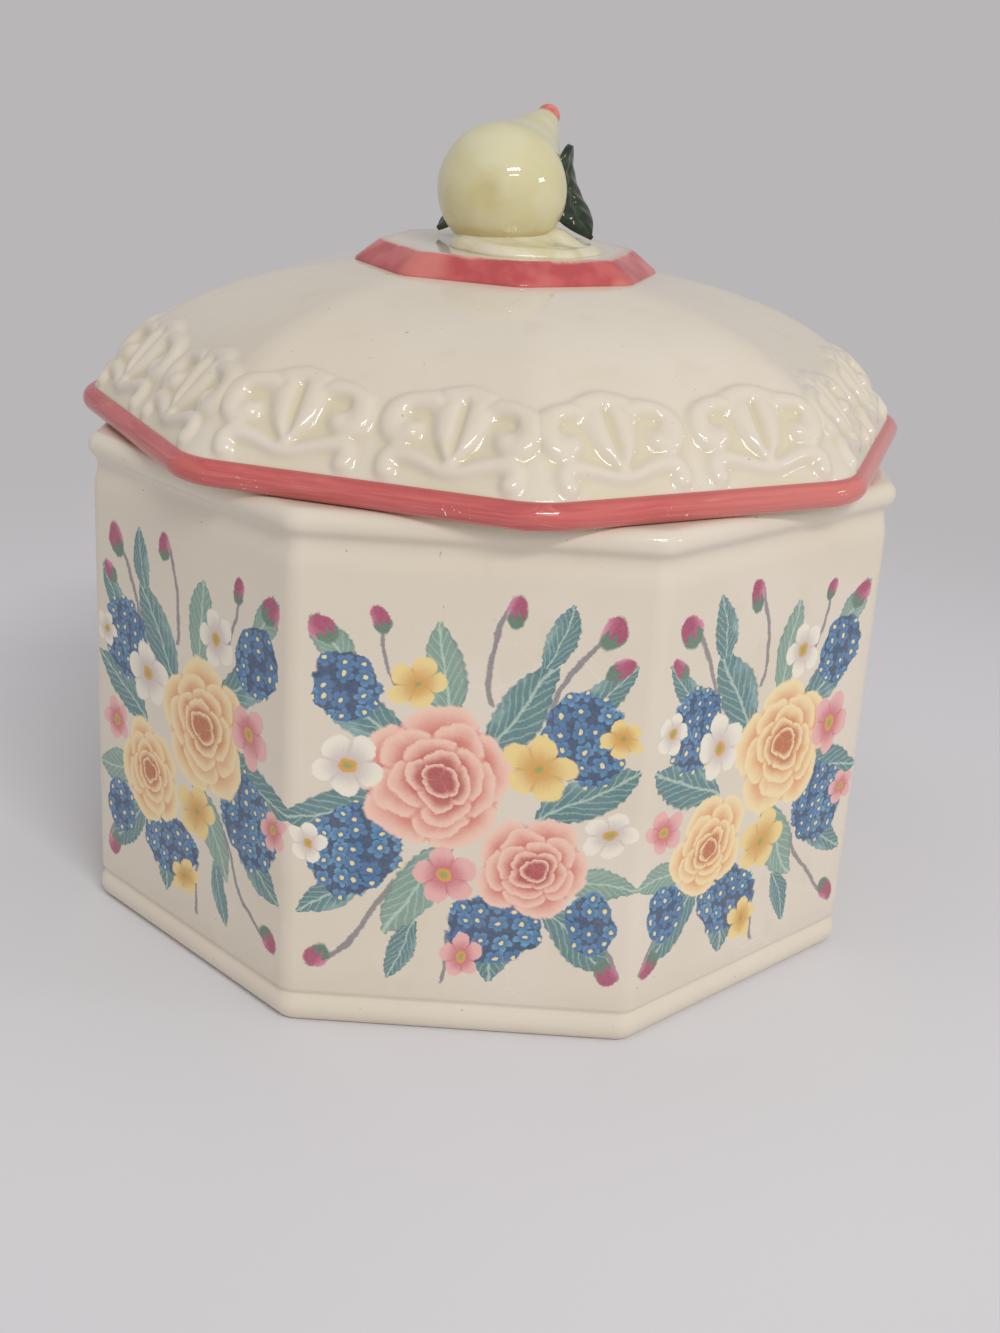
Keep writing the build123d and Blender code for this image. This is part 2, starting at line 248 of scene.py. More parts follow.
def skin(name, rings, looped=False, attributes=None):
    """A closed mesh through rings of equally many points, with its ends joined or capped."""
    rings = np.asarray(rings, float)
    rows, count = rings.shape[:2]
    column = np.arange(count)
    after = (column + 1) % count
    joined = np.concatenate([rings, rings[:1]]) if looped else rings
    levels = np.cumsum(np.linalg.norm(np.diff(joined, axis=0), axis=2).mean(1))
    levels = np.concatenate([[0], levels]) / levels[-1]
    left, right = column / count, (column + 1) / count
    faces, corners = [], []
    for row in range(len(joined) - 1):
        here, there = row * count, (row + 1) % rows * count
        faces += np.stack([here + column, here + after, there + after, there + column], 1).tolist()
        low, high = np.full(count, levels[row]), np.full(count, levels[row + 1])
        corners.append(np.stack([left, low, right, low, right, high, left, high], 1).reshape(-1, 2))
    points = rings.reshape(-1, 3)
    for row in () if looped else (0, rows - 1):
        start, end = (after, column) if row == 0 else (column, after)
        u_start, u_end = (right, left) if row == 0 else (left, right)
        hub = np.full(count, len(points))
        level = np.full(count, levels[row])
        points = np.vstack([points, rings[row].mean(0)])
        faces += np.stack([row * count + start, row * count + end, hub], 1).tolist()
        cap = [u_start, level, u_end, level, (left + right) / 2, level]
        corners.append(np.stack(cap, 1).reshape(-1, 2))
    mesh = bpy.data.meshes.new(name)
    mesh.from_pydata((points * MM).tolist(), [], faces)
    layer = mesh.uv_layers.new(name="OFBake")
    layer.data.foreach_set("uv", np.concatenate(corners).astype(np.float32).ravel())
    for key, values in (attributes or {}).items():
        whole = np.zeros(len(points), np.float32)
        whole[:values.size] = values.ravel()
        mesh.attributes.new(key, "FLOAT", "POINT").data.foreach_set("value", whole)
    mesh.shade_smooth()
    # A mesh whose faces look inwards has a volume below zero
    threes = np.array([face[:3] for face in faces])
    turns = np.cross(points[threes[:, 1]], points[threes[:, 2]])
    if np.einsum("ij,ij->", points[threes[:, 0]], turns) < 0:
        mesh.flip_normals()
    return bpy.data.objects.new(name, mesh)


def put(piece, material, body, slot, *nodes):
    """Puts a piece in the scene, on its body and in place of its CAD nodes."""
    bpy.context.scene.collection.objects.link(piece)
    piece.data.materials.append(material)
    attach(piece, body)
    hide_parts(*nodes)


def revolved(name, profile, middle, axis, count, shape=None):
    """A mesh that turns a profile of (along, out) about an axis, and may then be reshaped."""
    side = axis.orthogonal().normalized()
    other = axis.cross(side)
    turns = np.linspace(0, 2 * pi, count, endpoint=False)
    way = np.cos(turns)[:, None] * np.array(side) + np.sin(turns)[:, None] * np.array(other)
    rings = [np.array(middle) + along * np.array(axis) + out * way for along, out in profile]
    rings = np.array(rings)
    return skin(name, shape(rings) if shape else rings)


# Jar, with the stretches of its outside as places out of its wall, and up from its foot or its rim

FOOT_RING = [(-58.5, 1.5), (-9.5, 1.5), (-9.1, 1.2), (-8.9, 0.4), (-8.4, 0.0), (-1.5, 0.0)]
FOOT_BEAD = [(-0.9, 0.35), (0.3, 2.9), (-0.55, 5.5)]
FOOT_GROOVE = [(-0.7, 5.8), (-0.65, 6.1), (-0.15, 6.75), (0.0, 7.3)]
COVE = [(0.0, -11.5), (0.0, -8.6), (-0.8, -7.8), (-0.7, -6.2)]
BEAD = [(-0.7, -6.2), (-0.6, -4.6), (1.0, -4.4), (1.0, -2.6)]
RIM_EDGE = [(1.0, -2.6), (0.5, -1.0), (-1.2, -0.05)]
RIM_INSET = 1.9

# Stretches of its inside, out of the mouth or the cavity's wall, and up from the stretch's own level
EASED_EDGE = [(1.2, 0.0), (0.35, -0.35), (0.0, -1.2)]
NECK_EDGE = [(0.0, 0.5), (0.2, 0.0)]
SHOULDER = [(-3.4, -0.04), (-1.2, -1.2), (0.0, -4.0)]
FLOOR_EDGE = [(0.0, 5.0), (-1.46, 1.46), (-5.0, 0.0)]


def jar_profile():
    """The jar's outside from under its foot to the rim, as (out, height)."""
    low, high = (FOOT_RING, FOOT_BEAD, FOOT_GROOVE), (COVE, BEAD, RIM_EDGE)
    foot_ring, foot_bead, groove = (moved(points, JAR_OUT, 0) for points in low)
    cove, bead, edge = (moved(points, JAR_OUT, JAR_HEIGHT) for points in high)
    shares = np.linspace(0.1, 1, 10)
    foot = [*foot_ring, foot_bead[0], *arc(*foot_bead, 8), *groove]
    head = [cove[0], *bezier(cove, shares), *bezier(bead, shares), *arc(*edge, 8)]
    return divided([*foot, *head, (JAR_OUT - RIM_INSET, JAR_HEIGHT)], longest=5.0)


def jar():
    """The jar, outside and inside, with a rim that leads from the octagon to the round mouth."""
    flats, arcs = 20, 8
    rings = []
    for out, height in jar_profile():
        corner = max(JAR_CORNER + out - JAR_OUT, LEAST_CORNER)
        rings.append(Octagon(out, corner, flats, arcs).ring(height))
    rim = Octagon(JAR_OUT - RIM_INSET, JAR_CORNER - RIM_INSET, flats, arcs)
    mouth = moved(EASED_EDGE, MOUTH_RADIUS, JAR_HEIGHT)
    neck = [mouth[0], *arc(*mouth, 5), *moved(NECK_EDGE, MOUTH_RADIUS, NECK_FOOT)]
    rings += [rim.circle(radius, height) for radius, height in divided(neck, longest=3.0)]
    shoulder = moved(SHOULDER, CAVITY_OUT, NECK_FOOT)
    floor = moved(FLOOR_EDGE, CAVITY_OUT, JAR_FLOOR)
    inside = [shoulder[0], *arc(*shoulder, 5), floor[0], *arc(*floor, 6), (FLOOR_HUB, JAR_FLOOR)]
    for out, height in divided(inside, longest=8.0):
        rings.append(Octagon(out, CAVITY_CORNER * out / CAVITY_OUT, flats, arcs).ring(height))
    return skin("jar", rings)


# Relief of the lid, in millimetres from a motif's middle line and up the slope from the roll

GRID_STEP = 0.12
GRID_REACH = 18.0
GRID_TOP = 24.0
GRID_FOOT_ROWS = 16
MOTIF_OUT = 15.2
RELIEF_SOFTNESS = 0.4
RELIEF_RISE = 22.0
RELIEF_ROW = 0.45
BAND_POWER = 0.42
POOL_REACH = 1.9
POOL_TOP = 19.0
POOL_FADE = 3.0

# Lines of a motif's right half: place across, place up and half width
CROWN = [(0.0, 18.6, 2.3), (2.2, 18.3, 2.2), (4.2, 17.6, 2.0), (6.2, 16.9, 1.8)]
SCROLL = [(4.2, 16.6, 1.4), (6.6, 16.9, 1.8), (9.3, 16.3, 1.95), (11.6, 15.0, 2.15), (12.6, 12.9, 2.25),
          (12.2, 10.4, 2.35), (10.6, 9.0, 2.2), (8.6, 10.0, 2.1)]
PETAL = [(2.6, 15.4, 2.4), (2.5, 12.6, 2.2), (2.1, 9.6, 1.8), (1.4, 7.0, 1.3), (0.5, 4.6, 0.9)]
ARM = [(0.0, 3.4, 1.4), (1.8, 3.5, 1.4), (4.6, 4.6, 1.45), (8.3, 5.8, 1.6), (10.9, 5.6, 1.8),
       (11.9, 3.9, 1.7), (11.3, 2.4, 1.7)]
MIDDLE_GROOVE = [(0.0, 17.0, 0.5), (0.0, 14.5, 0.75), (0.0, 10.5, 0.65), (0.0, 6.8, 0.35)]
SIDE_GROOVE = [(8.5, 13.5, 1.8), (6.7, 13.7, 1.5), (5.7, 12.2, 0.95), (5.2, 10.2, 0.95), (5.1, 8.4, 1.3),
               (3.4, 6.6, 1.1), (1.4, 5.2, 0.6)]
CROWN_GROOVE = [(5.4, 18.4, 0.5), (4.5, 17.2, 0.6), (3.5, 15.9, 0.55)]

# Lines with their heights or depths, and ovals: middle, reach, height and a power, lower for a flatter one
RAISED_LINES = [(CROWN, 1.3), (SCROLL, 1.4), (PETAL, 1.4), (ARM, 1.25)]
CUT_LINES = [(MIDDLE_GROOVE, 0.9), (SIDE_GROOVE, 1.0), (CROWN_GROOVE, 0.4)]
BEDS = [((0.0, 12.6), (7.0, 6.5), 0.8, 0.25), ((10.0, 12.6), (4.0, 4.5), 0.8, 0.25)]
BALLS = [((8.7, 9.9), (2.1, 1.9), 1.55, 0.5), ((11.3, 2.5), (2.0, 2.0), 1.35, 0.5)]
POOLED_FOOT = ((0.0, 0.8), (10.5, 3.4), 0.4, 0.5)


def eased_line(line, rounds=3):
    """A line of points with its corners cut until it runs smoothly."""
    line = np.array(line, float)
    for _ in range(rounds):
        cut = np.stack([line[:-1] * 0.75 + line[1:] * 0.25, line[:-1] * 0.25 + line[1:] * 0.75], 1)
        line = np.concatenate([line[:1], cut.reshape(-1, 3), line[-1:]])
    return line


def band(x, y, line, height):
    """The height of a rounded band along a line."""
    field = np.zeros(x.shape)
    spots = eased_line(line)
    for (ax, ay, aw), (bx, by, bw) in zip(spots, spots[1:]):
        dx, dy = bx - ax, by - ay
        share = np.clip(((x - ax) * dx + (y - ay) * dy) / (dx * dx + dy * dy), 0, 1)
        gap = np.hypot(x - ax - share * dx, y - ay - share * dy) / (aw + share * (bw - aw))
        field = np.maximum(field, height * np.clip(1 - gap ** 2, 0, 1) ** BAND_POWER)
    return field


def mound(x, y, middle, reach, height, power):
    """The height of an oval mound."""
    gap = ((x - middle[0]) / reach[0]) ** 2 + ((y - middle[1]) / reach[1]) ** 2
    return height * np.clip(1 - gap, 0, 1) ** power


def softened(field, reach):
    """A field of heights blurred over a reach."""
    steps = np.arange(-int(3 * reach / GRID_STEP), int(3 * reach / GRID_STEP) + 1) * GRID_STEP
    weights = np.exp(-(steps / reach) ** 2 / 2)
    for axis in (0, 1):
        field = np.apply_along_axis(np.convolve, axis, field, weights / weights.sum(), mode="same")
    return field


def relief_motif():
    """The heights of one scrolled shell over a grid, and how deep each place lies in its surroundings."""
    x = np.abs(np.arange(-GRID_REACH, GRID_REACH, GRID_STEP))[None, :]
    y = np.arange(-GRID_STEP * GRID_FOOT_ROWS, GRID_TOP, GRID_STEP)[:, None]
    x, y = np.broadcast_arrays(x, y)
    heights = [band(x, y, line, height) for line, height in RAISED_LINES]
    heights += [mound(x, y, *oval) for oval in BEDS + BALLS]
    depths = [band(x, y, line, depth) for line, depth in CUT_LINES]
    heights = np.clip(np.maximum.reduce(heights) - np.maximum.reduce(depths), 0, None)
    field = softened(heights, RELIEF_SOFTNESS)
    around = np.maximum(softened(field, POOL_REACH), mound(x, y, *POOLED_FOOT))
    pool = np.clip(around - field, 0, None) * np.clip((POOL_TOP - y) / POOL_FADE, 0, 1)
    return field, pool


def sampled(field, x, y):
    """A field's values at places on its grid."""
    column = np.clip((x + GRID_REACH) / GRID_STEP, 0, field.shape[1] - 1.01)
    row = np.clip(y / GRID_STEP + GRID_FOOT_ROWS, 0, field.shape[0] - 1.01)
    left, low = column.astype(int), row.astype(int)
    across, rise = column - left, row - low
    lower = field[low, left] * (1 - across) + field[low, left + 1] * across
    upper = field[low + 1, left] * (1 - across) + field[low + 1, left + 1] * across
    return lower * (1 - rise) + upper * rise


# Lid, with stretches of profiles as places out of the roll's or the plate's edge, and up

ROLL_FRONT = [(-1.6, 0.05), (0.0, 2.5), (-1.8, 4.8)]
ROLL_BACK = [(-3.3, 5.05), (-3.9, 2.9), (-3.9, 0.05)]
PLATE_FOOT = [(-0.9, -0.8), (-0.3, -0.5), (0.0, 0.1), (-0.2, 0.6)]
PLATE_EDGE = [(0.45, -0.4), (0.1, -0.12), (-0.4, 0.0)]


def facet_line(inset, foot, top):
    """The Bezier points of a facet's curve between two heights, set in from the dome's outside."""
    start = np.array((SKIRT_OUT - inset, foot))
    end = np.array((PLATE_OUT - inset, top))
    start_pull = FOOT_PULL * np.array((-cos(FOOT_SLOPE), sin(FOOT_SLOPE)))
    end_pull = HEAD_PULL * np.array((cos(HEAD_SLOPE), -sin(HEAD_SLOPE)))
    return start, start + start_pull, end + end_pull, end


def facet_rows():
    """The facet's curve from the roll to the plate: points, ways out of the surface, and lengths up it."""
    fine = bezier(facet_line(0, ROLL_TOP, DOME_TOP), np.linspace(0, 1, 800))
    lengths = np.concatenate([[0], np.cumsum(np.linalg.norm(np.diff(fine, axis=0), axis=1))])
    relief = np.arange(0, RELIEF_RISE, RELIEF_ROW)
    rest = np.linspace(RELIEF_RISE, lengths[-1], 13)
    wanted = np.concatenate([relief, rest])
    points = np.stack([np.interp(wanted, lengths, fine[:, side]) for side in (0, 1)], 1)
    slope = np.gradient(fine, lengths, axis=0)
    ways = np.stack([np.interp(wanted, lengths, slope[:, 1]), np.interp(wanted, lengths, -slope[:, 0])], 1)
    return points, ways, wanted


def lid_inside(flats, arcs):
    """The rings of the lid's hollow, its flange with the groove, and its seat."""
    foot, top = SEAT + LID_WALL, DOME_TOP - LID_WALL
    hollow = bezier(facet_line(LID_WALL, foot, top), np.linspace(1, 0, 7))
    rings = [Octagon(out, HOLLOW_CORNER, flats, arcs, LID_TURN).ring(height)
             for out, height in [(HOLLOW_HUB, top), *hollow]]
    edge = Octagon(SKIRT_OUT - LID_WALL, HOLLOW_CORNER, flats, arcs, LID_TURN)
    inner_edge = [(FLANGE_BORE + out, FLANGE_FOOT - rise) for out, rise in reversed(EASED_EDGE)]
    outer_edge = [(FLANGE_RADIUS - out, FLANGE_FOOT - rise) for out, rise in EASED_EDGE]
    low, high = SEAL_LEVEL - SEAL_HALF, SEAL_LEVEL + SEAL_HALF
    groove = FLANGE_RADIUS - SEAL_SEATING
    flange = [(FLANGE_BORE, foot), *inner_edge, *outer_edge, (FLANGE_RADIUS, low), (groove, low),
              (groove, high), (FLANGE_RADIUS, high), (FLANGE_RADIUS, SEAT)]
    rings += [edge.circle(radius, height) for radius, height in flange]
    skirt = Octagon(SKIRT_OUT, SKIRT_CORNER, flats, arcs, LID_TURN)
    return rings + [skirt.ring(SEAT), skirt.ring(ROLL_TOP - SKIRT_TUCK)]


def dome():
    """The lid's shell, with the row of scrolled shells raised on its facets."""
    flats, arcs = 120, 24
    motif, pool = relief_motif()
    rings = lid_inside(flats, arcs)
    pools = [np.zeros(len(ring)) for ring in rings]
    for (out, height), way, length in zip(*facet_rows()):
        corner = np.interp(out, (SKIRT_OUT - RIDGE_RUN, SKIRT_OUT), (RIDGE_CORNER, SKIRT_CORNER))
        outline = Octagon(out, corner, flats, arcs, LID_TURN)
        near = np.abs(outline.place) - MOTIF_OUT
        beyond = 2 * outline.half_side - np.abs(outline.place) - MOTIF_OUT
        level = np.full(near.shape, length)
        raised, sunk = (np.maximum(sampled(field, near, level), sampled(field, beyond, level))
                        for field in (motif, pool))
        ring = outline.ring(height)
        ring[:, :2] += outline.ways * (raised * way[0])[:, None]
        ring[:, 2] += raised * way[1]
        rings.append(ring)
        pools.append(sunk)
    rings.append(Octagon(DOME_HUB, LEAST_CORNER, flats, arcs, LID_TURN).ring(DOME_TOP))
    pools.append(np.zeros(len(rings[0])))
    return skin("lid_dome", rings, attributes={"pool": np.array(pools)})


def roll():
    """The painted roll along the lid's edge."""
    front, back = (moved(points, ROLL_OUT, SEAT) for points in (ROLL_FRONT, ROLL_BACK))
    rings = []
    for out, height in [back[-1], front[0], *arc(*front, 12), *back[:-1]]:
        outline = Octagon(out, ROLL_CORNER + out - ROLL_OUT, 40, 16, LID_TURN)
        rings.append(outline.ring(height))
    return skin("lid_roll_band", rings, looped=True)


def plate():
    """The plinth on top of the dome, with its bevel."""
    foot = moved(PLATE_FOOT, PLATE_OUT, DOME_TOP)
    edge = moved(PLATE_EDGE, PLATE_TOP_OUT, PLATE_TOP)
    profile = [(PLATE_HUB, foot[0][1]), *foot, *arc(*edge, 4), (PLATE_HUB, PLATE_TOP)]
    rings = [Octagon(out, min(PLATE_CORNER, out / 4), 20, 12, LID_TURN).ring(height)
             for out, height in divided(profile, longest=2.0)]
    return skin("plinth", rings)


# Finial, with stretches of profiles as places along an axis and out of a piece's radius, the crown's
# as places up from the pad's height and out of its middle

NECK_END = [(0.35, -0.6), (0.4, -2.1)]
STEM_FOOT = [(-0.3, -1.9), (-0.2, -0.2), (0.3, 0.0)]
STEM_HEAD = [(-2.5, 0.0), (-0.73, -0.73), (0.0, -2.4)]
PAD_EDGE = [(0.2, 0.0), (1.4, -0.8), (1.9, -2.8)]
PAD_CROWN = [(0.0, 9.0), (0.3, 6.0), (0.3, 1.0)]

# Waves round the pad's edge: how many, where they start, and their share of its radius
PAD_SWELLS = [(3, 0.6, 0.03), (7, 2.0, 0.018)]


def pear_shape(rings):
    """Sets the pear flat on the plate and presses the dimple into its blossom end."""
    way = rings - np.array(pear_middle)
    length = np.linalg.norm(way, axis=2, keepdims=True)
    turn = np.arccos(np.clip(way @ np.array(blossom_front) / length[..., 0], -1, 1))
    press = DIMPLE_DEPTH * np.exp(-(turn * PEAR_RADIUS / DIMPLE_REACH) ** 2)
    waver = WAVER_DEPTH * np.sin(way[..., 0] / WAVER_ACROSS + 1) * np.sin(way[..., 2] / WAVER_UP)
    shaped = rings + way / length * (waver - press)[..., None]
    shaped[..., 2] = np.maximum(shaped[..., 2], PLATE_TOP)
    return shaped


def pear():
    """The pear: a ball drawn out into a neck."""
    shoulder = np.array((cos(PEAR_SHOULDER), sin(PEAR_SHOULDER))) * PEAR_RADIUS
    ball = [(-PEAR_RADIUS * cos(turn), PEAR_RADIUS * sin(turn))
            for turn in np.linspace(0.03, pi - PEAR_SHOULDER, 40)]
    neck_end = np.array((NECK_REACH, NECK_RADIUS))
    leave = np.array((shoulder[1], -shoulder[0])) / PEAR_RADIUS * NECK_PULL
    reach = np.array((-NECK_PULL, NECK_FLARE))
    neck = bezier((shoulder, shoulder + leave, neck_end + reach, neck_end), np.linspace(0.06, 1, 16))
    profile = [*ball, *neck, *moved(NECK_END, NECK_REACH, NECK_RADIUS)]
    return revolved("pear_body", profile, pear_middle, pear_axis, 96, pear_shape)


def stem():
    """The stem tip on the end of the pear's neck."""
    foot = moved(STEM_FOOT, NECK_REACH, STEM_RADIUS)
    head = moved(STEM_HEAD, STEM_END, STEM_RADIUS)
    return revolved("stem_tip", [*foot, head[0], *arc(*head, 10)], pear_middle, pear_axis, 40)


def pad_lumps(rings):
    """Makes the pad uneven: higher where it meets the leaf and the pear, and thin to its right."""
    way = rings[..., :2] - np.array(pad_middle)[:2]
    turn = np.arctan2(way[..., 1], way[..., 0])
    swell = sum(share * np.sin(waves * turn + start) for waves, start, share in PAD_SWELLS)
    rings[..., :2] += way * swell[..., None]
    right = np.clip(way @ np.array(lid_right)[:2] / PAD_RADIUS, 0, 1)
    to_lump = np.linalg.norm(rings[..., :2] - np.array(pad_lump)[:2], axis=2)
    to_pear = np.linalg.norm(rings[..., :2] - np.array(pear_middle)[:2], axis=2) - PEAR_FOOT
    height = np.clip(rings[..., 2] - PLATE_TOP, 0, None)
    lump = LUMP_HEIGHT * np.exp(-(to_lump / LUMP_REACH) ** 2)
    fillet = FILLET_HEIGHT * np.exp(-np.clip(to_pear, 0, None) / FILLET_REACH)
    rings[..., 2] += height * (lump + fillet - PAD_THINNING * right ** 3)
    return rings


def pad():
    """The low mound under the pear."""
    edge = moved(PAD_EDGE, 0, PAD_RADIUS)
    foot = [(-PAD_SINK, PAD_HUB), (-PAD_SINK, PAD_RADIUS - PAD_SINK)]
    profile = [*foot, edge[0], *arc(*edge, 10), *moved(PAD_CROWN, PAD_HEIGHT, 0)]
    return revolved("pear_pad", divided(profile, longest=1.2), pad_middle, up, 96, pad_lumps)


def leaf_width(part, widest):
    """A leaf's half width at a part of its length: blunt at its head, and wider down to its widest part."""
    if part < widest:
        return LEAF_HALF_WIDTH * max(1 - (1 - part / widest) ** 2, LEAST_LEAF_HEAD) ** 0.5
    fall = cos(pi / 2 * (part - widest) / (1 - widest))
    return LEAF_HALF_WIDTH * max(fall, LEAST_LEAF_TIP) ** LEAF_TIP_POWER


def leaf(name, side, ground, widest):
    """A thick curved leaf at one side of the pear, with a midrib and veins, that twists as it falls."""
    waist = (LEAF_WAIST_OUT, (LEAF_HEAD + ground) / 2)
    line = np.array([(0.0, LEAF_HEAD), *arc((0.0, LEAF_HEAD), waist, (LEAF_TIP_OUT, ground), 40)])
    slope = np.gradient(line, axis=0)
    slope /= np.linalg.norm(slope, axis=1)[:, None]
    turns = np.linspace(0, 2 * pi, 64, endpoint=False)
    edge = np.abs(np.cos(turns))
    rings = []
    for (out, height), (run, rise), part in zip(line, slope, np.linspace(0, 1, len(line))):
        width = leaf_width(part, widest)
        across = width * np.cos(turns)
        fullness = LEAF_EDGE_SHARE + (1 - LEAF_EDGE_SHARE) * np.sqrt(width / LEAF_HALF_WIDTH)
        thick = LEAF_THICKNESS / 2 * np.sin(turns) * fullness
        veins = VEIN_HEIGHT * np.cos(2 * pi * (VEIN_COUNT * part - VEIN_SLANT * edge)) * (1 - edge ** 4)
        groove = -RIB_DEPTH * np.exp(-(across / RIB_REACH) ** 2)
        face = np.where(np.sin(turns) > 0, veins + groove, 0) * sin(pi * part)
        lift = LEAF_THICKNESS / 2 + thick + face
        twist = LEAF_TWIST * part ** LEAF_TWIST_POWER
        span = np.array(lid_back) * cos(twist) + np.array(lid_right) * sin(twist)
        rings.append(np.array(leaf_foot) + np.outer(out - rise * lift, lid_right)
                     + np.outer(height + run * lift, up) + np.outer(across, span))
    rings = np.array(rings)
    if side < 0:
        right = np.array(lid_right)
        rings -= 2 * (rings @ right)[..., None] * right
    return skin(name, rings)


# Materials, written as formulas whose steps each add a shader node

class Value:
    """A node's result, for use in further formulas."""

    def __init__(self, socket):
        self.socket = socket
        self.tree = socket.id_data

    def __add__(self, other):
        return math("ADD", self, other)

    def __sub__(self, other):
        return math("SUBTRACT", self, other)

    def __rsub__(self, other):
        return math("SUBTRACT", other, self)

    def __mul__(self, other):
        return math("MULTIPLY", self, other)

    def __truediv__(self, other):
        return math("DIVIDE", self, other)

    def __abs__(self):
        return math("ABSOLUTE", self)


def join(socket, value):
    """Gives an input a number, a colour or another node's result."""
    if isinstance(value, Value):
        value.tree.links.new(value.socket, socket)
    else:
        socket.default_value = value


def add(kind, *values, tree=None, result=0, **settings):
    """Adds a node to a tree, or to the tree of its values, and gives one of its results."""
    tree = tree or next(value.tree for value in values if isinstance(value, Value))
    node = tree.nodes.new("ShaderNode" + kind)
    for name, setting in settings.items():
        setattr(node, name, setting)
    for socket, value in zip([socket for socket in node.inputs if socket.enabled], values):
        join(socket, value)
    return Value([socket for socket in node.outputs if socket.enabled][result])


def outputs(value):
    """All results of the node that gave a value, by name."""
    return {socket.name: Value(socket) for socket in value.socket.node.outputs}


def math(operation, *values):
    return add("Math", *values, operation=operation)


def vectors(operation, *values):
    return add("VectorMath", *values, operation=operation)


def parts(vector):
    return list(outputs(add("SeparateXYZ", vector)).values())


def ramp(value, low, high):
    """0 up to a low value and 1 from a high one, or the other way round where low is above high."""
    return add("MapRange", value, low, high, interpolation_type="SMOOTHSTEP")


def mix(share, first, second, strength=1.0):
    """The first colour with a share of the second over it."""
    if strength < 1:
        share = share * strength
    return add("Mix", share, first, second, data_type="RGBA")


def noise(place, size, detail=2.0):
    """Noise whose patches are about as large as a size in millimetres."""
    return add("TexNoise", place, 1 / size, detail)


def patches(place, size, detail, low, high):
    """1 where such a noise is strong and 0 where it is weak, or the other way round as in a ramp."""
    return ramp(noise(place, size, detail), low, high)


def facet(place, turn):
    """How far out of the middle a place lies square to its facet, how far along it, and which facet."""
    x, y, _ = parts(place)
    heading = math("ARCTAN2", y, x) - turn
    number = math("ROUND", heading / STEP)
    rest = heading - number * STEP
    reach = math("SQRT", x * x + y * y)
    return reach * math("COSINE", rest), reach * math("SINE", rest), number


def bump(height, distance):
    """A bump of a height in millimetres."""
    return add("Bump", 1.0, distance * MM, 0.1, height)


def shade(red, green, blue):
    """A colour written as it shows on screen, from 0 to 255."""
    shares = [part / 255 for part in (red, green, blue)]
    linear = [share / 12.92 if share < 0.04045 else ((share + 0.055) / 1.055) ** 2.4 for share in shares]
    return (*linear, 1.0)


BACKDROP = shade(184, 182, 183)
CREAM = shade(222, 210, 191)
CREAM_WARM = shade(216, 202, 178)
CREAM_PALE = shade(226, 215, 198)
CRAZED = shade(238, 230, 216)
PITTED = shade(150, 130, 100)
POOLED = shade(217, 206, 177)
CORAL = shade(203, 98, 96)
CORAL_DEEP = shade(188, 78, 80)
CORAL_PALE = shade(218, 132, 122)

# Sizes and places of changes of colour, in millimetres
CRAZING_SIZE = 13.0
# Where the roll is painted paler to the right, as painted light falling from that side
ROLL_PAINTED_LIGHT_FROM = 10.0
ROLL_PAINTED_LIGHT_TO = 60.0
PLATE_WASH = 3.2
PEAR_FOOT_TINT = 7.0
# Height of the ochre ring of painted shade above the pear's foot
PEAR_SHADE_RING_RISE = 3.6
BLOSSOM_TINT = 6.0
FADE_FROM = 130.0
FADE_TO = 400.0


def new_material(name, roughness):
    """A material, its surface shader, and the place on its piece in millimetres."""
    made = bpy.data.materials.new(name)
    made.use_nodes = True
    surface = made.node_tree.nodes["Principled BSDF"]
    surface.inputs["Roughness"].default_value = roughness
    place = add("TexCoord", tree=made.node_tree, result=3)
    return made, surface, vectors("SCALE", place, 1 / MM)


def glazed(name, roughness, paint, ripple=0.0):
    """A hand-dipped glaze: it wavers slowly, ripples by a given height, and has a very fine grain."""
    made, surface, place = new_material(name, roughness)
    slow = noise(place, 16, 1) * 0.1
    middle = noise(place, 4, 1) * ripple
    fine = noise(place, 1.6, 1) * 0.005
    join(surface.inputs["Base Color"], paint(place))
    join(surface.inputs["Normal"], bump(slow + middle + fine, 1.0))
    return made


def cream_paint(place):
    """Cream glaze: soft clouds, sparse pits and faint crazing."""
    colour = mix(patches(place, 38, 3, 0.35, 0.7), CREAM, CREAM_PALE)
    colour = mix(patches(place, 9, 2, 0.58, 0.75), colour, CREAM_WARM, 0.35)
    cracks = add("TexVoronoi", place, 1 / CRAZING_SIZE, feature="DISTANCE_TO_EDGE")
    lines = ramp(cracks, 0.01, 0.003) * patches(place, 45, 2, 0.55, 0.68)
    colour = mix(lines, colour, CRAZED, 0.4)
    return mix(patches(place, 0.9, 0, 0.15, 0.11), colour, PITTED, 0.5)


def lid_paint(place):
    """Cream glaze that runs thick and yellowish into the hollows of the relief."""
    pool = add("Attribute", tree=place.tree, result=2, attribute_name="pool")
    return mix(ramp(pool, 0.05, 0.6), cream_paint(place), POOLED)


# Flower print of the jar: a loose posy on every face, mirrored and recoloured from face to face

PRINT_FOOT = 10.0
PRINT_HEAD = 89.0
PRINT_OUT = 75.5
FLORET = 3.3

